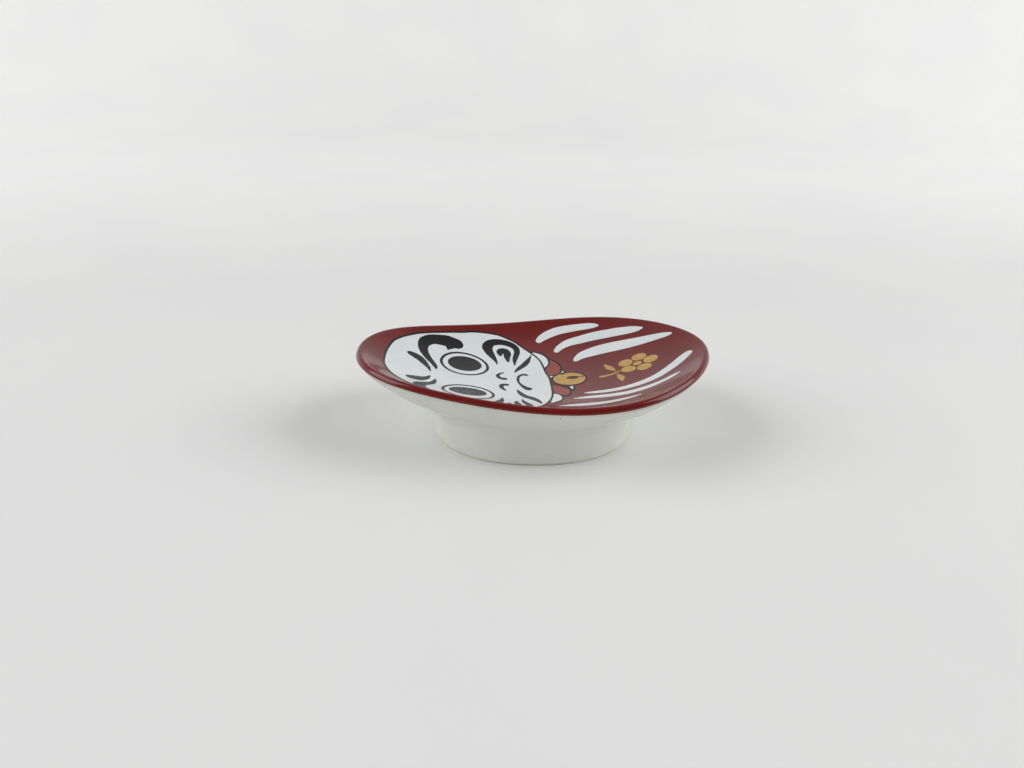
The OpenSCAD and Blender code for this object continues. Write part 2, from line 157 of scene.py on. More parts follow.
def inset(distance):
    """The dish's outline moved in by a distance."""
    return RIM - distance * OUTWARD


def lifted(plan, height):
    """Points above a plan outline, at one height or at one height each."""
    return np.column_stack([plan, np.broadcast_to(height, len(plan))])


def toward(angle):
    """Unit step (out, up) at an angle in degrees above the outward level."""
    return np.array([math.cos(math.radians(angle)), math.sin(math.radians(angle))])


# The rim's section is three arcs: over the crest, down the flank, around the edge.
# Places on it are given as (out, up) from the centre of the crest's arc.
FLANK_CENTRE = (CREST_RADIUS - FLANK_RADIUS) * toward(FLANK_TURN)
EDGE_CENTRE = FLANK_CENTRE + (FLANK_RADIUS - EDGE_RADIUS) * toward(EDGE_TURN)
CREST_INSET = EDGE_CENTRE[0] + EDGE_RADIUS


def rim_section(angle, height):
    """Place on the rim's section, at a height above the clay."""
    if angle >= FLANK_TURN:
        return (CREST_RADIUS + height) * toward(angle)
    if angle >= EDGE_TURN:
        return FLANK_CENTRE + (FLANK_RADIUS + height) * toward(angle)
    return EDGE_CENTRE + (EDGE_RADIUS + height) * toward(angle)


BOWL_INSET = 1.35 * CREST_INSET      # where the bowl gives way to the crest's arc
CREST_PLAN = inset(CREST_INSET)
CREST_HEIGHT = bowl(CREST_PLAN[:, 0], CREST_PLAN[:, 1]) - CREST_SINK * CREST_RADIUS


def crest_loop(angle, height):
    """Loop around the rim, at an angle above the outward level."""
    out, up = rim_section(angle, height)
    return lifted(CREST_PLAN + OUTWARD * out, CREST_HEIGHT + up)


def bowl_loop(share, height):
    """Loop of the bowl, at a share of the way from the middle to the crest's arc."""
    plan = share * inset(BOWL_INSET)
    return laid(plan[:, 0], plan[:, 1], height)


def foot_plan(distance):
    """The foot's outline moved in by a distance."""
    power = 2 / FOOT_SQUARENESS
    c = np.cos(AROUND_ANGLES)
    s = np.sin(AROUND_ANGLES)
    return np.stack([
        (FOOT_HALF_LENGTH - distance) * np.sign(c) * np.abs(c) ** power,
        (FOOT_HALF_WIDTH - distance) * np.sign(s) * np.abs(s) ** power,
    ], axis=-1)


def underside_loop(share):
    """Loop of the underside, at a share of the way from the foot to the rim."""
    outer = inset(UNDERSIDE_START)
    inner = foot_plan(0)
    plan = inner + (outer - inner) * share
    low = FLOOR_HEIGHT - JOINT_DROP
    high = CREST_HEIGHT - LIP_DEPTH
    rise = (1 - UNDERSIDE_CURL) * share + UNDERSIDE_CURL * share**3
    return lifted(plan, low + (high - low) * rise)


def fillet_loop(share):
    """Fillet between the underside, at 1, and the foot's wall, at 0."""
    edge = underside_loop(FILLET_SHARE)
    wall = foot_plan(0)
    low = FLOOR_HEIGHT - JOINT_DROP
    plan = wall + (edge[:, :2] - wall) * share**2
    drop = FILLET_HEIGHT * (1 - share) ** 2
    return lifted(plan, low - drop + (edge[:, 2] - low) * share**2)


# ---- Meshes ----------------------------------------------------------------------

def loft(loops, start, end):
    """A closed skin that runs from a start point through loops to an end point."""
    loops = np.asarray(loops)
    count, around = loops.shape[:2]
    points = np.concatenate([[start], loops.reshape(-1, 3), [end]])
    tip = len(points) - 1
    last = 1 + (count - 1) * around
    faces = []
    for j in range(around):
        k = (j + 1) % around
        faces.append((0, 1 + j, 1 + k))
        faces.append((tip, last + k, last + j))
        for i in range(count - 1):
            a = 1 + i * around
            faces.append((a + j, a + around + j, a + around + k, a + k))
    return points, faces


def bent_ring(loops):
    """A closed skin whose loops follow one another and close up."""
    loops = np.asarray(loops)
    count, around = loops.shape[:2]
    faces = []
    for i in range(count):
        a = i * around
        b = (i + 1) % count * around
        for j in range(around):
            k = (j + 1) % around
            faces.append((a + j, b + j, b + k, a + k))
    return loops.reshape(-1, 3), faces


def joined(skins):
    """Several skins as one."""
    points = []
    faces = []
    base = 0
    for skin_points, skin_faces in skins:
        points.append(skin_points)
        faces.extend(tuple(base + i for i in face) for face in skin_faces)
        base += len(skin_points)
    return np.concatenate(points), faces


SHARP_ANGLE = 50          # edges that turn by more than this stay crisp, in degrees


def make_piece(name, skin, material, slot, *nodes):
    """One visible piece in metres, which stands for the CAD nodes it is named with."""
    points, faces = skin
    mesh = bpy.data.meshes.new(name)
    mesh.from_pydata((points * MM).tolist(), [], faces)
    cleaner = bmesh.new()
    cleaner.from_mesh(mesh)
    bmesh.ops.recalc_face_normals(cleaner, faces=cleaner.faces)
    cleaner.to_mesh(mesh)
    cleaner.free()
    mesh.polygons.foreach_set("use_smooth", [True] * len(mesh.polygons))
    mesh.set_sharp_from_angle(angle=math.radians(SHARP_ANGLE))
    mesh.materials.append(material)
    piece = bpy.data.objects.new(name, mesh)
    bpy.context.scene.collection.objects.link(piece)
    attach(piece, "root")
    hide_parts(*nodes)
    return piece


# ---- Brush marks -----------------------------------------------------------------

CURVE_STEPS = 8
THINNEST = 0.08                             # no stroke gets thinner than this
END_ANGLES = (15, 30, 45, 60, 75, 85)       # stations of a stroke's round ends


def spline(points, closed=False, steps=CURVE_STEPS):
    """Smooth Catmull-Rom curve through given points."""
    p = np.asarray(points, float)
    count = len(p)
    rows = []
    for i in range(count if closed else count - 1):
        if closed:
            a, b, c, d = (p[(i + k) % count] for k in (-1, 0, 1, 2))
        else:
            a, b, c, d = p[max(i - 1, 0)], p[i], p[i + 1], p[min(i + 2, count - 1)]
        for f in np.arange(steps) / steps:
            rows.append(0.5 * (2 * b + (c - a) * f + (2 * a - 5 * b + 4 * c - d) * f**2
                               + (3 * b - 3 * c + d - a) * f**3))
    if not closed:
        rows.append(p[-1])
    return np.array(rows)


def tangents(path, closed=False):
    """Direction of a path at each of its points."""
    if closed:
        along = np.roll(path, -1, axis=0) - np.roll(path, 1, axis=0)
    else:
        along = np.gradient(path, axis=0)
    return along / np.linalg.norm(along, axis=1, keepdims=True)


# Cross section of a coat of paint: (place across it, share of its thickness)
SECTION = [
    (-0.86, 0.0), (-1.0, 0.35), (-0.93, 0.8), (-0.8, 1.0), (-0.4, 1.0), (0.0, 1.0),
    (0.4, 1.0), (0.8, 1.0), (0.93, 0.8), (1.0, 0.35), (0.86, 0.0), (0.0, 0.0),
]


def sections(centres, along, widths, coat):
    """Cross sections of a painted line, one for each centre."""
    across = np.stack([along[:, 1], -along[:, 0]], axis=-1)
    low, high = coat
    loops = []
    for centre, side, width in zip(centres * ART, across, widths * ART):
        plan = np.array([centre + side * place * width / 2 for place, _ in SECTION])
        heights = np.array([low + (high - low) * share for _, share in SECTION])
        loops.append(laid(plan[:, 0], plan[:, 1], heights))
    return loops


def stroke(stations, coat=LINE_COAT):
    """A brush stroke with round ends, through stations (x, y, width)."""
    path = spline(stations)
    centres = path[:, :2]
    widths = np.maximum(path[:, 2], THINNEST)
    along = tangents(centres)
    angles = np.radians(END_ANGLES)
    tail = [centres[0] - along[0] * widths[0] / 2 * math.sin(a) for a in angles[::-1]]
    head = [centres[-1] + along[-1] * widths[-1] / 2 * math.sin(a) for a in angles]
    narrowing = np.cos(angles)
    all_centres = np.concatenate([tail, centres, head])
    all_along = np.concatenate([[along[0]] * len(angles), along, [along[-1]] * len(angles)])
    all_widths = np.concatenate([widths[0] * narrowing[::-1], widths, widths[-1] * narrowing])
    loops = sections(all_centres, all_along, all_widths, coat)
    middle = sum(coat) / 2
    start = (centres[0] - along[0] * widths[0] / 2) * ART
    end = (centres[-1] + along[-1] * widths[-1] / 2) * ART
    return loft(loops, laid(start[0], start[1], middle), laid(end[0], end[1], middle))


def closed_line(outline, width):
    """A line of one width along a closed outline."""
    widths = np.full(len(outline), width)
    return bent_ring(sections(outline, tangents(outline, closed=True), widths, LINE_COAT))


# Soft edge of a filled coat, from its top to its bottom:
# (distance in from the outline, share of its thickness)
PATCH_EDGE = [(0.06, 1.0), (0.018, 0.75), (0.0, 0.3), (0.03, 0.0)]


def patch(centre, outline, coat, rings=6):
    """A filled coat inside an outline, with a soft edge."""
    centre = np.asarray(centre, float)
    low, high = coat
    spread = outline - centre
    reach = np.linalg.norm(spread, axis=1, keepdims=True)

    def loop(share, pull, height):
        plan = (centre + spread * (share - pull / reach)) * ART
        return laid(plan[:, 0], plan[:, 1], height)

    shares = (np.arange(rings) + 1) / (rings + 1)
    loops = [loop(share, 0, high) for share in shares]
    loops += [loop(1, pull, low + part * (high - low)) for pull, part in PATCH_EDGE]
    loops += [loop(share, 0, low) for share in shares[::-1]]
    x, y = centre * ART
    return loft(loops, laid(x, y, high), laid(x, y, low))


def ellipse(centre, half_x, half_y, tilt=0, count=96):
    """Outline of an ellipse, turned by a tilt in degrees."""
    t = turn(count)
    c, s = math.cos(math.radians(tilt)), math.sin(math.radians(tilt))
    x = half_x * np.cos(t)
    y = half_y * np.sin(t)
    return np.stack([centre[0] + x * c - y * s, centre[1] + x * s + y * c], axis=-1)


# ---- Materials -------------------------------------------------------------------

def srgb(red, green, blue):
    """A colour given on the 0 to 255 screen scale, as Blender's linear colour."""
    linear = [c / 12.92 if c <= 0.04045 else ((c + 0.055) / 1.055) ** 2.4
              for c in (red / 255, green / 255, blue / 255)]
    return (*linear, 1.0)


class Glaze:
    """A fired surface: a Principled shader with helpers for its detail."""

    def __init__(self, name, roughness, coat, ior=1.5):
        self.material = bpy.data.materials.new(name)
        self.material.use_nodes = True
        self.tree = self.material.node_tree
        self.shader = self.tree.nodes["Principled BSDF"]
        self.shader.inputs["Roughness"].default_value = roughness
        self.shader.inputs["IOR"].default_value = ior
        self.shader.inputs["Coat Weight"].default_value = coat
        self.shader.inputs["Coat Roughness"].default_value = 0.04
        self.place = self.tree.nodes.new("ShaderNodeTexCoord").outputs["Object"]

    def noise(self, size_mm, detail=3.0):
        """Noise whose features are about that many millimetres across."""
        node = self.tree.nodes.new("ShaderNodeTexNoise")
        node.inputs["Scale"].default_value = 1 / (size_mm * MM)
        node.inputs["Detail"].default_value = detail
        self.tree.links.new(self.place, node.inputs["Vector"])
        return node.outputs["Fac"]

    def ramp(self, value, *stops):
        """Colour ramp with stops given as (position, colour or grey level)."""
        node = self.tree.nodes.new("ShaderNodeValToRGB")
        elements = node.color_ramp.elements
        while len(elements) < len(stops):
            elements.new(0.5)
        for element, (position, colour) in zip(elements, stops):
            element.position = position
            element.color = colour if isinstance(colour, tuple) else (colour, colour, colour, 1.0)
        self.tree.links.new(value, node.inputs["Fac"])
        return node.outputs["Color"]

    def specks(self, spacing_mm, share):
        """1 in small dots, in about one cell out of four, and 0 elsewhere."""
        node = self.tree.nodes.new("ShaderNodeTexVoronoi")
        node.inputs["Scale"].default_value = 1 / (spacing_mm * MM)
        self.tree.links.new(self.place, node.inputs["Vector"])
        near = self.ramp(node.outputs["Distance"], (0.0, 1.0), (share, 1.0), (share * 1.5, 0.0))
        chosen = self.ramp(node.outputs["Color"], (0.0, 0.0), (0.72, 0.0), (0.74, 1.0))
        return self.calculate("MULTIPLY", near, chosen)

    def calculate(self, operation, a, b):
        """Result of an operation on two values, which are numbers or node outputs."""
        node = self.tree.nodes.new("ShaderNodeMath")
        node.operation = operation
        for socket, value in zip(node.inputs, (a, b)):
            if isinstance(value, (int, float)):
                socket.default_value = value
            else:
                self.tree.links.new(value, socket)
        return node.outputs["Value"]

    def mix(self, factor, a, b):
        """Colour a where the factor is 0 and colour b where it is 1."""
        node = self.tree.nodes.new("ShaderNodeMix")
        node.data_type = "RGBA"
        self.tree.links.new(factor, node.inputs["Factor"])
        for socket, value in ((node.inputs["A"], a), (node.inputs["B"], b)):
            if isinstance(value, tuple):
                socket.default_value = value
            else:
                self.tree.links.new(value, socket)
        return node.outputs["Result"]

    def colour(self, value):
        self.tree.links.new(value, self.shader.inputs["Base Color"])

    def roughness(self, value):
        self.tree.links.new(value, self.shader.inputs["Roughness"])

    def bump(self, height, depth_mm, strength):
        """Slight waves in the surface, that many millimetres deep."""
        node = self.tree.nodes.new("ShaderNodeBump")
        node.inputs["Distance"].default_value = depth_mm * MM
        node.inputs["Strength"].default_value = strength
        self.tree.links.new(height, node.inputs["Height"])
        self.tree.links.new(node.outputs["Normal"], self.shader.inputs["Normal"])
        self.tree.links.new(node.outputs["Normal"], self.shader.inputs["Coat Normal"])


def porcelain():
    """Clear glaze on white clay, with a few iron specks and a bare foot edge."""
    glaze = Glaze("glazed_porcelain", 0.16, 0.1)
    tone = glaze.ramp(glaze.noise(7), (0.3, srgb(213, 216, 207)), (0.7, srgb(220, 221, 213)))
    glazed = glaze.mix(glaze.specks(2.6, 0.045), tone, srgb(112, 98, 84))
    height = glaze.tree.nodes.new("ShaderNodeSeparateXYZ")
    glaze.tree.links.new(glaze.place, height.inputs["Vector"])
    level = glaze.calculate("DIVIDE", height.outputs["Z"], MM)
    waver = glaze.calculate("MULTIPLY", glaze.noise(1.2), 0.25)
    bare = glaze.ramp(glaze.calculate("ADD", level, waver), (0.30, 1.0), (0.46, 0.0))
    glaze.colour(glaze.mix(bare, glazed, srgb(226, 221, 210)))
    shine = glaze.ramp(glaze.noise(4), (0.3, 0.12), (0.7, 0.2))
    glaze.roughness(glaze.mix(bare, shine, (0.75, 0.75, 0.75, 1)))
    glaze.bump(glaze.noise(3.2, detail=2), 0.02, 0.6)
    return glaze.material


def red_glaze():
    """Brick red, cloudy over wide areas and finely mottled close up."""
    glaze = Glaze("red_glaze", 0.15, 0.0, ior=1.44)
    broad = glaze.ramp(glaze.noise(9), (0.3, srgb(104, 21, 17)), (0.72, srgb(113, 26, 21)))
    fine = glaze.ramp(glaze.noise(0.35, detail=4), (0.35, 0.0), (0.8, 0.3))
    glaze.colour(glaze.mix(fine, broad, srgb(122, 34, 26)))
    glaze.roughness(glaze.ramp(glaze.noise(3), (0.3, 0.13), (0.75, 0.17)))
    glaze.bump(glaze.noise(2.4, detail=1), 0.006, 0.4)
    return glaze.material


def white_enamel():
    """Cool white with a faint grain of print."""
    glaze = Glaze("white_enamel", 0.18, 0.0)
    tone = glaze.ramp(glaze.noise(5), (0.3, srgb(222, 229, 230)), (0.7, srgb(232, 236, 236)))
    grain = glaze.ramp(glaze.noise(0.22, detail=4), (0.45, 0.0), (0.85, 0.35))
    glaze.colour(glaze.mix(grain, tone, srgb(204, 212, 214)))
    glaze.roughness(glaze.ramp(glaze.noise(0.8), (0.3, 0.14), (0.75, 0.26)))
    glaze.bump(glaze.noise(1.6, detail=2), 0.008, 0.5)
    return glaze.material


def black_enamel():
    """Satin black, a little duller where the brush left less paint."""
    glaze = Glaze("black_enamel", 0.22, 0.0, ior=1.4)
    grain = glaze.noise(0.5, detail=5)
    glaze.colour(glaze.ramp(grain, (0.35, srgb(12, 13, 16)), (0.8, srgb(21, 21, 24))))
    glaze.roughness(glaze.ramp(glaze.noise(0.6), (0.3, 0.18), (0.75, 0.32)))
    glaze.bump(glaze.noise(0.9, detail=2), 0.004, 0.4)
    return glaze.material


def orange_red_enamel():
    glaze = Glaze("orange_red_enamel", 0.2, 0.0)
    grain = glaze.noise(1.1, detail=4)
    glaze.colour(glaze.ramp(grain, (0.3, srgb(136, 46, 34)), (0.75, srgb(158, 66, 50))))
    glaze.roughness(glaze.ramp(glaze.noise(0.8), (0.3, 0.16), (0.75, 0.28)))
    glaze.bump(glaze.noise(1.2, detail=2), 0.006, 0.5)
    return glaze.material


def gold_enamel():
    """Speckled ochre gold with a slight metallic sheen."""
    glaze = Glaze("gold_enamel", 0.34, 0.15)
    glaze.shader.inputs["Metallic"].default_value = 0.35
    grain = glaze.noise(0.45, detail=5)
    glaze.colour(glaze.ramp(grain, (0.3, srgb(186, 142, 72)), (0.7, srgb(222, 182, 104))))
    glaze.roughness(glaze.ramp(glaze.noise(0.4), (0.3, 0.26), (0.75, 0.44)))
    glaze.bump(glaze.noise(0.5, detail=3), 0.008, 0.6)
    return glaze.material


def brown_enamel():
    glaze = Glaze("brown_enamel", 0.22, 0.0)
    grain = glaze.noise(0.5, detail=4)
    glaze.colour(glaze.ramp(grain, (0.3, srgb(62, 26, 22)), (0.8, srgb(88, 40, 32))))
    glaze.roughness(glaze.ramp(glaze.noise(0.6), (0.3, 0.18), (0.75, 0.3)))
    return glaze.material


PORCELAIN = porcelain()
RED = red_glaze()
WHITE = white_enamel()
BLACK = black_enamel()
ORANGE = orange_red_enamel()
GOLD = gold_enamel()
BROWN = brown_enamel()


# ---- The clay and its red ground -------------------------------------------------

BOWL_START = 0.02         # first and last loop of the bowl, as shares of its way out
BOWL_END = 0.99
RIM_START = 115           # angle at which the rim's section leaves the bowl


def dish():
    """Bowl, rounded rim, underside and fillet, down to the joint with the foot."""
    loops = [bowl_loop(share, 0) for share in np.linspace(BOWL_START, BOWL_END, 48)]
    loops += [crest_loop(angle, 0) for angle in range(RIM_START, -90, -10)]
    loops += [underside_loop(share) for share in np.linspace(1, FILLET_SHARE, 32)]
    loops += [fillet_loop(share) for share in np.linspace(0.95, 0, 20)]
    # The flat joint above the foot's wall, and then the roof of the hollow inside it
    for distance in (0, 0.4, FOOT_WALL - 0.5, FOOT_WALL):
        loops.append(lifted(foot_plan(distance), FOOT_TOP))
    for share in (0.85, 0.6, 0.35, 0.1):
        loops.append(lifted(foot_plan(FOOT_WALL) * share, FOOT_TOP))
    make_piece("dish", loft(loops, (0, 0, FLOOR_HEIGHT), (0, 0, FOOT_TOP)),
               PORCELAIN, "glazed_porcelain", "dish_body")


def foot():
    """Hollow foot with soft edges at its bottom, which stands on the table."""
    def narrowing(height):
        return FOOT_DRAFT * (1 - height / FOOT_TOP) ** 2

    def wall(height):
        return lifted(foot_plan(narrowing(height)), height)

    loops = [lifted(foot_plan(0), FOOT_TOP)]
    loops += [wall(height) for height in np.linspace(FOOT_TOP - 0.25, FOOT_EDGE, 20)]
    for turned in np.radians(range(75, -1, -15)):
        plan = foot_plan(FOOT_DRAFT + FOOT_EDGE * (1 - math.sin(turned)))
        loops.append(lifted(plan, FOOT_EDGE * (1 - math.cos(turned))))
    inner = FOOT_WALL - FOOT_EDGE
    # Up the inside, and back over the flat joint with the dish
    for turned in np.radians(range(0, 91, 15)):
        plan = foot_plan(inner + FOOT_EDGE * math.sin(turned))
        loops.append(lifted(plan, FOOT_EDGE * (1 - math.cos(turned))))
    loops += [lifted(foot_plan(FOOT_WALL), height) for height in np.linspace(0.8, FOOT_TOP, 8)]
    loops += [lifted(foot_plan(distance), FOOT_TOP) for distance in (2.2, 1.4, 0.6)]
    make_piece("foot", bent_ring(loops), PORCELAIN, "glazed_porcelain", "foot_ring")


def red_ground():
    """The red coat covers the bowl, wraps over the rim and ends under it in a soft bead."""
    low, high = RED_COAT
    shares = np.linspace(BOWL_START, BOWL_END, 64)
    angles = range(RIM_START, -80, -6)
    loops = [bowl_loop(share, high) for share in shares]
    loops += [crest_loop(angle, high) for angle in angles]
    loops += [crest_loop(-86, 0.8 * high), crest_loop(-88, 0.5 * high), crest_loop(-87, low)]
    loops += [crest_loop(angle, low) for angle in reversed(angles)]
    loops += [bowl_loop(share, low) for share in shares[::-1]]
    make_piece("red_coat", loft(loops, (0, 0, FLOOR_HEIGHT + high), (0, 0, FLOOR_HEIGHT + low)),
               RED, "red_glaze", "red_ground")


# ---- The face --------------------------------------------------------------------

FACE_CENTRE = (-11, 0)
FACE_EDGE = [
    (3.2, -0.4), (3.2, 2.0), (2.9, 4.1), (2.7, 6.7), (2.4, 9.1), (1.7, 10.9), (0.7, 12.4),
    (-0.4, 13.8), (-1.7, 15.2), (-3, 16), (-5, 16.7), (-7.7, 16.7), (-10, 16.3), (-11.5, 15.8),
    (-13.6, 15.2), (-15.9, 14.4), (-17.9, 13.6), (-20, 12.5), (-21.7, 11.2), (-23.1, 9.8),
    (-24.3, 7.9), (-25.2, 4.5), (-25.5, 0.9), (-25.4, -1.5), (-24.9, -3.6), (-24.1, -5.4),
    (-22.6, -7.6), (-20.2, -9.9), (-17.6, -11.9), (-14.6, -13.7), (-11.5, -15), (-8, -15.8),
    (-4.8, -15.7), (-2.2, -14.7), (-0.3, -13), (0.8, -11.4), (1.8, -9.4), (2.5, -7.4),
    (2.9, -5.2), (3.1, -2.7),
]
FACE_LINE = 0.36          # width of the line around the face


def face():
    edge = spline(FACE_EDGE, closed=True, steps=6)
    make_piece("face_white", patch(FACE_CENTRE, edge, COLOUR_COAT, rings=36),
               WHITE, "white_enamel", "face_panel")
    make_piece("face_line", closed_line(edge, FACE_LINE), BLACK, "black_enamel", "face_outline")


# Each stroke is a list of (x, y, width). A brow is a hook over the eye, and a spur that
# turns back from the hook's thick end.
LEFT_BROW = [
    (-16.7, 2.6, 0.3), (-16.8, 3.4, 0.75), (-17.2, 4.6, 1.0), (-18.1, 6.3, 1.3), (-18.8, 8.0, 1.6),
    (-19.0, 9.5, 1.85), (-18.6, 11.0, 2.2), (-17.3, 12.1, 2.3), (-15.7, 12.5, 2.6),
    (-14.4, 12.6, 3.0), (-12.95, 12.5, 2.7),
]
LEFT_BROW_SPUR = [
    (-14.0, 11.8, 2.0), (-14.15, 11.3, 1.6), (-14.35, 10.8, 0.9), (-14.5, 10.4, 0.3),
]
RIGHT_BROW = [
    (-16.9, -2.3, 0.3), (-17.0, -3.4, 0.75), (-17.5, -4.8, 1.1), (-18.6, -6.1, 1.5),
    (-19.4, -7.4, 2.0), (-19.4, -8.9, 2.1), (-18.8, -10.3, 2.2), (-17.4, -11.5, 2.2),
    (-15.7, -12.1, 2.4), (-14.3, -12.3, 2.6), (-12.7, -12.4, 2.1),
]
RIGHT_BROW_SPUR = [
    (-14.0, -11.6, 2.0), (-14.15, -11.1, 1.6), (-14.35, -10.6, 0.9), (-14.5, -10.2, 0.3),
]
LEFT_FOREHEAD = [
    (-21.1, 6.1, 1.35), (-20.2, 5.7, 1.75), (-19.3, 4.9, 1.6), (-18.6, 3.7, 1.2),
    (-18.0, 2.4, 0.7), (-17.7, 1.1, 0.2),
]
RIGHT_FOREHEAD = [
    (-20.9, -4.3, 1.8), (-19.9, -3.9, 2.1), (-19.0, -3.2, 1.6), (-18.3, -2.4, 1.0),
    (-17.8, -1.2, 0.4),
]
LEFT_NOSTRIL = [
    (-4.8, 4.1, 0.4), (-5.5, 3.6, 0.55), (-5.85, 2.8, 0.7), (-5.6, 1.9, 0.75), (-5.0, 1.5, 0.95),
    (-4.7, 1.5, 0.95),
]
RIGHT_NOSTRIL = [
    (-4.6, -1.2, 0.95), (-5.3, -1.3, 0.9), (-5.6, -2.1, 0.8), (-5.4, -3.1, 0.65), (-5.0, -3.9, 0.4),
]
MOUTH = [
    (-0.7, 3.3, 0.7), (-1.3, 3.45, 0.7), (-2.1, 2.7, 0.55), (-2.4, 1.2, 0.5), (-2.35, -0.1, 0.45),
    (-1.95, -1.4, 0.65), (-1.4, -2.5, 1.1), (-1.0, -3.0, 1.4),
]
LEFT_CHIN = [
    (1.0, 11.4, 0.1), (0.55, 10.2, 0.5), (0, 8.9, 1.0), (-0.7, 7.6, 1.1), (-1.6, 6.3, 0.95),
    (-2.3, 5.2, 0.6), (-2.65, 4.4, 0.2),
]
RIGHT_CHIN = [
    (-2.9, -3.6, 0.3), (-2.7, -4.8, 0.75), (-1.95, -6.6, 1.2), (-0.9, -7.7, 1.3), (-0.1, -9.0, 1.0),
    (0.35, -10.6, 0.4),
]
LEFT_ARCH = [
    (-5.6, 7.4, 0.1), (-5.8, 8.7, 0.6), (-6.3, 10.2, 1.2), (-6.9, 11.8, 1.7), (-7.1, 13.2, 2.0),
    (-6.3, 14.4, 1.7), (-4.7, 14.9, 1.5), (-2.9, 14.6, 1.5), (-1.8, 13.6, 1.3), (-1.6, 12.2, 1.1),
    (-2.0, 10.6, 1.0), (-2.3, 9.1, 0.75), (-2.45, 7.3, 0.15),
]
RIGHT_ARCH = [
    (-5.8, -7.8, 0.1), (-6.0, -9.0, 0.6), (-6.4, -10.3, 1.2), (-6.9, -11.7, 1.6), (-7.0, -13.0, 1.9),
    (-6.2, -14.0, 1.6), (-4.7, -14.4, 1.5), (-3.0, -14.1, 1.4), (-2.0, -13.2, 1.2), (-1.8, -11.9, 1.1),
    (-2.2, -10.6, 0.9), (-2.5, -9.5, 0.6), (-2.6, -8.3, 0.15),
]
LEFT_CURL = [
    (-4.8, 10.9, 0.6), (-4.85, 11.6, 1.2), (-4.6, 12.3, 1.5), (-3.9, 12.4, 1.6), (-3.5, 11.6, 1.5),
    (-3.6, 10.4, 1.15), (-3.55, 9.4, 0.75), (-3.5, 8.6, 0.25),
]
RIGHT_CURL = [
    (-5.0, -11.0, 0.2), (-5.0, -11.7, 0.9), (-4.7, -12.4, 1.2), (-4.0, -12.5, 1.2), (-3.6, -11.7, 1.1),
    (-3.7, -10.8, 0.9), (-3.65, -10.1, 0.6), (-3.65, -9.4, 0.1),
]

BRUSH_MARKS = {
    "left_brow": [LEFT_BROW, LEFT_BROW_SPUR],
    "right_brow": [RIGHT_BROW, RIGHT_BROW_SPUR],
    "left_forehead_mark": [LEFT_FOREHEAD],
    "right_forehead_mark": [RIGHT_FOREHEAD],
    "left_nostril": [LEFT_NOSTRIL],
    "right_nostril": [RIGHT_NOSTRIL],
    "mouth": [MOUTH],
    "left_chin_stroke": [LEFT_CHIN],
    "right_chin_stroke": [RIGHT_CHIN],
    "left_cheek_arch": [LEFT_ARCH],
    "right_cheek_arch": [RIGHT_ARCH],
    "left_cheek_curl": [LEFT_CURL],
    "right_cheek_curl": [RIGHT_CURL],
}


def brush_marks():
    for node, lines in BRUSH_MARKS.items():
        skin = joined([stroke(line) for line in lines])
        make_piece(node + "_paint", skin, BLACK, "black_enamel", node)


# Ellipses of the eyes: centre, half length, half width, and tilt in degrees
EYE_RINGS = {"left": ((-11.6, 6.15), 4.15, 4.0, 0), "right": ((-11.45, -6.7), 4.2, 3.75, 0)}
PUPILS = {"left": ((-11.55, 6.4), 3.05, 2.7, 10), "right": ((-11.5, -6.2), 3.15, 2.15, 0)}
EYE_LINE = 0.5            # width of the ring's line


def eyes():
    """Each eye is a thin ring around a filled pupil."""
    for side in ("left", "right"):
        make_piece(side + "_eye_line", closed_line(ellipse(*EYE_RINGS[side]), EYE_LINE),
                   BLACK, "black_enamel", side + "_eye_ring")
        centre = PUPILS[side][0]
        make_piece(side + "_pupil_paint", patch(centre, ellipse(*PUPILS[side]), LINE_COAT),
                   BLACK, "black_enamel", side + "_pupil")


# ---- Collar and bell -------------------------------------------------------------

THIN_LINE = 0.32          # width of the lines around the collar and the bell

LEFT_WHITE_LOBE = [
    (1.3, 12.2), (1.85, 10.8), (2.5, 9.1), (2.75, 7.3), (2.95, 6.3), (3.5, 7.2), (3.8, 8.4),
    (3.75, 9.9), (3.1, 11.2), (2.1, 12.0),
]
RIGHT_WHITE_LOBE = [
    (2.0, -10.2), (2.35, -8.6), (2.8, -6.9), (3.1, -5.6), (3.7, -5.9), (4.15, -7.1), (4.0, -8.5),
    (3.3, -9.4), (2.5, -10.1),
]
LEFT_RED_LOBE = [
    (3.2, 3.0), (3.9, 2.9), (4.6, 3.15), (5.3, 3.9), (5.7, 5.2), (5.65, 6.7), (5.2, 8.1),
    (4.5, 9.2), (4.0, 9.2), (4.0, 8.0), (3.6, 6.8), (3.1, 5.6),
]
RIGHT_RED_LOBE = [
    (3.35, -1.5), (3.2, -3.0), (3.25, -4.4), (3.6, -5.4), (4.3, -6.2), (5.1, -6.6), (5.65, -5.9),
    (5.9, -4.4), (5.6, -3.1), (4.6, -2.2),
]
LEFT_TIP = [(5.35, 3.3), (6.15, 3.6), (5.85, 4.8)]
RIGHT_TIP = [(6.1, -2.65), (6.5, -4.2), (6.9, -2.65)]
NECK_TIP = [(4.1, 2.45), (3.75, 2.7), (3.35, 2.5), (3.5, 2.15), (3.9, 2.1)]

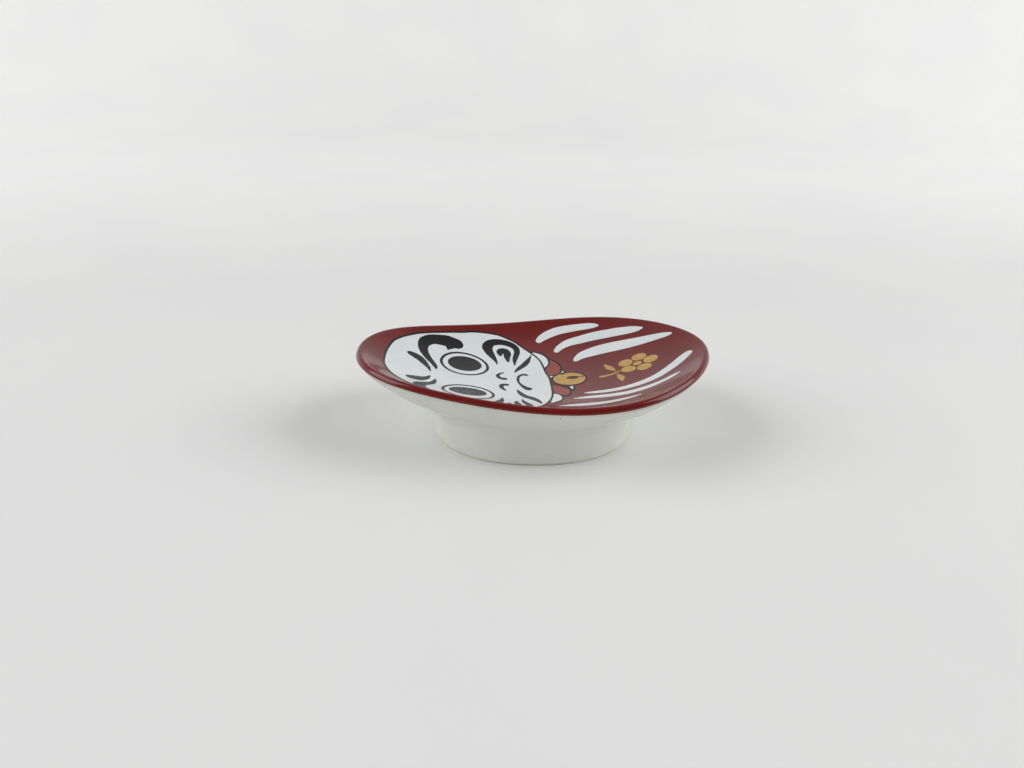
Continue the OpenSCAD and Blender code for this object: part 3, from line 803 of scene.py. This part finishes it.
COLLAR_LINES = [
    [(1.3, 12.4), (2.2, 12.2), (3.3, 11.3), (3.95, 10.0), (4.0, 8.5), (3.65, 7.2), (2.95, 6.1)],
    [(3.9, 9.4), (4.6, 9.4), (5.35, 8.3), (5.85, 6.8), (5.85, 5.2), (5.4, 3.8), (4.6, 3.0),
     (3.5, 2.7)],
    [(5.6, 5.2), (6.0, 4.8), (6.35, 3.7), (5.6, 3.1)],
    [(3.1, -5.4), (3.8, -5.8), (4.3, -7.1), (4.15, -8.6), (3.4, -9.6), (2.4, -10.4)],
    [(3.3, -1.2), (4.6, -2.0), (5.8, -3.0), (6.1, -4.4), (5.85, -6.0), (5.2, -6.85), (4.2, -6.4)],
    [(5.95, -2.55), (6.5, -4.4), (7.05, -2.5)],
]


WHITE_LOBES = [LEFT_WHITE_LOBE, RIGHT_WHITE_LOBE, LEFT_TIP, RIGHT_TIP, NECK_TIP]
RED_LOBES = [LEFT_RED_LOBE, RIGHT_RED_LOBE]


def lobe(points):
    outline = spline(points, closed=True, steps=5)
    return patch(outline.mean(axis=0), outline, COLOUR_COAT)


def collar():
    white = [lobe(points) for points in WHITE_LOBES]
    make_piece("collar_white_paint", joined(white), WHITE, "white_enamel", "collar_white")
    red = [lobe(points) for points in RED_LOBES]
    make_piece("collar_red_paint", joined(red), ORANGE, "orange_red_enamel", "collar_red")
    lines = [stroke([(x, y, THIN_LINE) for x, y in line]) for line in COLLAR_LINES]
    make_piece("collar_line_paint", joined(lines), BLACK, "black_enamel", "collar_outline")


BELL_CENTRE = (6.65, 0.85)
BELL_SIZE = (2.9, 2.75)   # half length and half width of the gold
SLIT_CENTRE = (7.3, 1.35)
SLIT_SIZE = (0.85, 0.42)
EDGE_OUT = 0.1            # how far outside the bell and the slit their lines run
SLIT_TAIL = [(8.3, 1.38, 0.28), (8.8, 1.42, 0.24), (9.5, 1.45, 0.24)]
SLIT_LINE = 0.24
SLIT_COAT = (0.086, 0.089)    # between the gold below it and the line around it


def bell():
    """A gold bell with a brown slit, both with a thin black line around them."""
    gold = patch(BELL_CENTRE, ellipse(BELL_CENTRE, *BELL_SIZE), COLOUR_COAT)
    slit = patch(SLIT_CENTRE, ellipse(SLIT_CENTRE, *SLIT_SIZE), SLIT_COAT)
    bell_edge = ellipse(BELL_CENTRE, *[half + EDGE_OUT for half in BELL_SIZE])
    slit_edge = ellipse(SLIT_CENTRE, *[half + EDGE_OUT for half in SLIT_SIZE])
    lines = joined([
        closed_line(bell_edge, THIN_LINE),
        closed_line(slit_edge, SLIT_LINE),
        stroke(SLIT_TAIL),
    ])
    make_piece("bell_gold", gold, GOLD, "gold_enamel", "bell")
    make_piece("bell_line", lines, BLACK, "black_enamel", "bell_outline")
    make_piece("bell_slit_paint", slit, BROWN, "brown_enamel", "bell_slit")


# ---- Gold sprig and white stripes ------------------------------------------------

BLOSSOM_CENTRE = (19.0, 2.4)
PETALS = 5
PETAL_REACH = 2.3         # from the blossom's centre to a petal's centre
PETAL_SIZE = (1.25, 1.3)  # half sizes of a petal, along and across its reach
HEART_RADIUS = 0.75       # dot in the blossom's centre

# The stem and its two leaves
SPRIG_LINES = [
    [(15.6, 1.2, 0.35), (14.3, 0.5, 0.5), (12.9, 0.2, 0.7), (12.2, 0.2, 0.8)],
    [(14.9, 1.7, 0.3), (14.2, 3.2, 1.2), (13.6, 4.9, 0.25)],
    [(15.0, -0.1, 0.3), (15.3, -1.7, 1.2), (15.2, -3.3, 0.25)],
]


def sprig():
    """A gold plum blossom on a short stem with two leaves."""
    parts = [stroke(line, COLOUR_COAT) for line in SPRIG_LINES]
    x, y = BLOSSOM_CENTRE
    for angle in turn(PETALS):
        centre = (x + PETAL_REACH * math.cos(angle), y + PETAL_REACH * math.sin(angle))
        petal = ellipse(centre, *PETAL_SIZE, tilt=math.degrees(angle), count=48)
        parts.append(patch(centre, petal, COLOUR_COAT, rings=3))
    heart = ellipse(BLOSSOM_CENTRE, HEART_RADIUS, HEART_RADIUS, count=36)
    parts.append(patch(BLOSSOM_CENTRE, heart, COLOUR_COAT, rings=2))
    make_piece("blossom_gold", joined(parts), GOLD, "gold_enamel", "blossom_sprig")


LEFT_STRIPES = [
    [(2.9, 15.9, 1.2), (3.5, 16.6, 1.55), (4.9, 17.6, 1.85), (7, 18.45, 1.9), (10, 18.75, 1.7),
     (12.5, 18.6, 1.5), (13.8, 18.35, 1.1), (14.4, 18.2, 0.6)],
    [(5.9, 12.5, 1.1), (6.7, 13.6, 1.5), (8.5, 14.8, 2.0), (11.1, 15.3, 2.3), (13.3, 15.5, 2.4),
     (15.6, 15.3, 2.35), (17.8, 14.85, 2.2), (20, 14.1, 1.8), (21.3, 13.5, 1.2), (21.9, 13.3, 0.6)],
    [(9.0, 8.5, 1.1), (9.6, 9.25, 1.7), (11, 10.2, 2.6), (13.5, 10.8, 3.1), (16, 10.8, 3.1),
     (19, 10.3, 2.8), (22, 9.5, 2.2), (24.2, 8.7, 1.6), (25.5, 8.0, 1.05), (26.0, 7.75, 0.6)],
]
RIGHT_STRIPES = [
    [(8.3, -6.3, 0.4), (9.5, -6.4, 0.95), (12, -6.7, 1.3), (15, -6.7, 1.5), (18, -6.3, 1.75),
     (20.5, -5.5, 1.9), (22.5, -4.4, 2.0), (24.5, -3.1, 2.1), (25.9, -2.1, 2.05), (26.5, -1.7, 1.8)],
    [(6, -8.6, 0.3), (8.5, -8.6, 1.2), (11.5, -9.1, 1.5), (15, -9.6, 1.6), (18, -9.4, 1.5),
     (20.5, -8.9, 1.2), (22.5, -8.25, 1.0), (23.6, -7.9, 0.3)],
    [(3.1, -12.5, 0.3), (5, -12.5, 1.4), (8, -12.8, 1.8), (11, -13.0, 1.6), (14, -12.8, 1.2),
     (16.1, -12.5, 0.4)],
]


def stripes():
    for side, lines in (("left", LEFT_STRIPES), ("right", RIGHT_STRIPES)):
        skin = joined([stroke(line, COLOUR_COAT) for line in lines])
        make_piece(side + "_stripes_paint", skin, WHITE, "white_enamel", side + "_stripes")


# ---- Stage, light and camera -----------------------------------------------------

SWEEP_FLOOR = 0.42        # radius of the flat floor, in metres
SWEEP_BEND = 0.34         # radius of its bend up into the backdrop
SWEEP_RISE = 60           # how far the bend goes round, in degrees
SWEEP_AROUND = 96         # points around the sweep


def sweep():
    """A round pale floor that bends up all around, like a paper sweep."""
    profile = [(radius, 0.0) for radius in (0.05, 0.1, 0.2, 0.3, SWEEP_FLOOR)]
    for angle in np.radians(np.arange(4, SWEEP_RISE + 1, 4)):
        radius = SWEEP_FLOOR + SWEEP_BEND * math.sin(angle)
        profile.append((radius, SWEEP_BEND * (1 - math.cos(angle))))
    around = turn(SWEEP_AROUND)
    points = [(0, 0, 0)]
    points += [(r * math.cos(t), r * math.sin(t), z) for r, z in profile for t in around]
    faces = []
    for j in range(SWEEP_AROUND):
        k = (j + 1) % SWEEP_AROUND
        faces.append((0, 1 + j, 1 + k))
        for i in range(len(profile) - 1):
            a = 1 + i * SWEEP_AROUND
            b = a + SWEEP_AROUND
            faces.append((a + j, b + j, b + k, a + k))
    mesh = bpy.data.meshes.new("floor")
    mesh.from_pydata(points, [], faces)
    mesh.polygons.foreach_set("use_smooth", [True] * len(mesh.polygons))
    paper = Glaze("floor_paper", 0.9, 0.0)
    clouds = paper.noise(60)
    paper.colour(paper.ramp(clouds, (0.3, srgb(231, 232, 231)), (0.7, srgb(235, 235, 234))))
    mesh.materials.append(paper.material)
    floor = bpy.data.objects.new("floor", mesh)
    bpy.context.scene.collection.objects.link(floor)


def look_along(direction):
    """Rotation that turns a light's or camera's -Z along a direction."""
    return Vector(direction).to_track_quat("-Z", "Y").to_matrix().to_4x4()


MIDDLE = (0, 0, 0)        # the point on the table under the dish

# Each light: its place, the point it faces, its width and height, and its power,
# in metres and watts
LIGHTS = {
    "light_right": ((0.655, -0.08, 0.45), MIDDLE, 0.62, 0.62, 4.0),
    "light_left": ((-0.662, -0.03, 0.45), MIDDLE, 0.62, 0.62, 3.7),
    "strip_right": ((0.705, -0.257, 0.09), MIDDLE, 0.35, 0.05, 0.55),
    "strip_left": ((-0.734, -0.156, 0.105), MIDDLE, 0.22, 0.05, 0.35),
    "light_backdrop": ((0, 0.2, 0.45), (0, 1.2, 0.2), 2.0, 0.3, 2.6),
}

# Grey level of the room from front to back: (share of the way back, grey)
ROOM = [(0.0, 0.06), (0.55, 0.24), (0.8, 0.56), (1.0, 0.62)]


def soft_light(name, place, aim, width, height, power):
    lamp = bpy.data.lights.new(name, "AREA")
    lamp.shape = "RECTANGLE"
    lamp.size = width
    lamp.size_y = height
    lamp.energy = power
    light = bpy.data.objects.new(name, lamp)
    direction = np.array(aim, float) - np.array(place, float)
    light.matrix_world = Matrix.Translation(place) @ look_along(direction)
    bpy.context.scene.collection.objects.link(light)


def lights():
    """Two broad soft lights and two low strips beside the dish, and one on the backdrop."""
    for name, settings in LIGHTS.items():
        soft_light(name, *settings)


def room():
    """A dim room that is brighter behind the dish than in front of it."""
    world = bpy.data.worlds.new("studio")
    world.use_nodes = True
    bpy.context.scene.world = world
    nodes = world.node_tree.nodes
    links = world.node_tree.links
    place = nodes.new("ShaderNodeTexCoord").outputs["Generated"]
    split = nodes.new("ShaderNodeSeparateXYZ")
    links.new(place, split.inputs["Vector"])
    depth = nodes.new("ShaderNodeMapRange")
    depth.inputs["From Min"].default_value = -1
    depth.inputs["From Max"].default_value = 1
    links.new(split.outputs["Y"], depth.inputs["Value"])
    ramp = nodes.new("ShaderNodeValToRGB")
    stops = ramp.color_ramp.elements
    for position, _ in ROOM[1:-1]:
        stops.new(position)
    for stop, (position, grey) in zip(stops, ROOM):
        stop.position = position
        stop.color = (grey, grey, grey, 1)
    links.new(depth.outputs["Result"], ramp.inputs["Fac"])
    links.new(ramp.outputs["Color"], nodes["Background"].inputs["Color"])


CAMERA_PLACE = (-0.01673, -0.13767, 0.06477)    # in metres
CAMERA_TURN = -5.47       # away from +Y, in degrees, where minus is to the right
CAMERA_DROP = 22.45       # down from level, in degrees
CAMERA_ROLL = 1.43        # in degrees
LENS = 30.23              # in millimetres, for a sensor 36 mm wide


def camera():
    data = bpy.data.cameras.new("camera")
    data.lens = LENS
    data.sensor_width = 36
    data.clip_start = 0.005
    view = bpy.data.objects.new("camera", data)
    turned = Matrix.Rotation(math.radians(CAMERA_TURN), 4, "Z")
    tilted = Matrix.Rotation(math.radians(90 - CAMERA_DROP), 4, "X")
    rolled = Matrix.Rotation(math.radians(CAMERA_ROLL), 4, "Z")
    view.matrix_world = Matrix.Translation(CAMERA_PLACE) @ turned @ tilted @ rolled
    bpy.context.scene.collection.objects.link(view)
    bpy.context.scene.camera = view


# ---- Making ----------------------------------------------------------------------

camera()
dish()
foot()
red_ground()
face()
brush_marks()
eyes()
collar()
bell()
sprig()
stripes()
sweep()
lights()
room()
bpy.context.scene.view_settings.view_transform = "Standard"
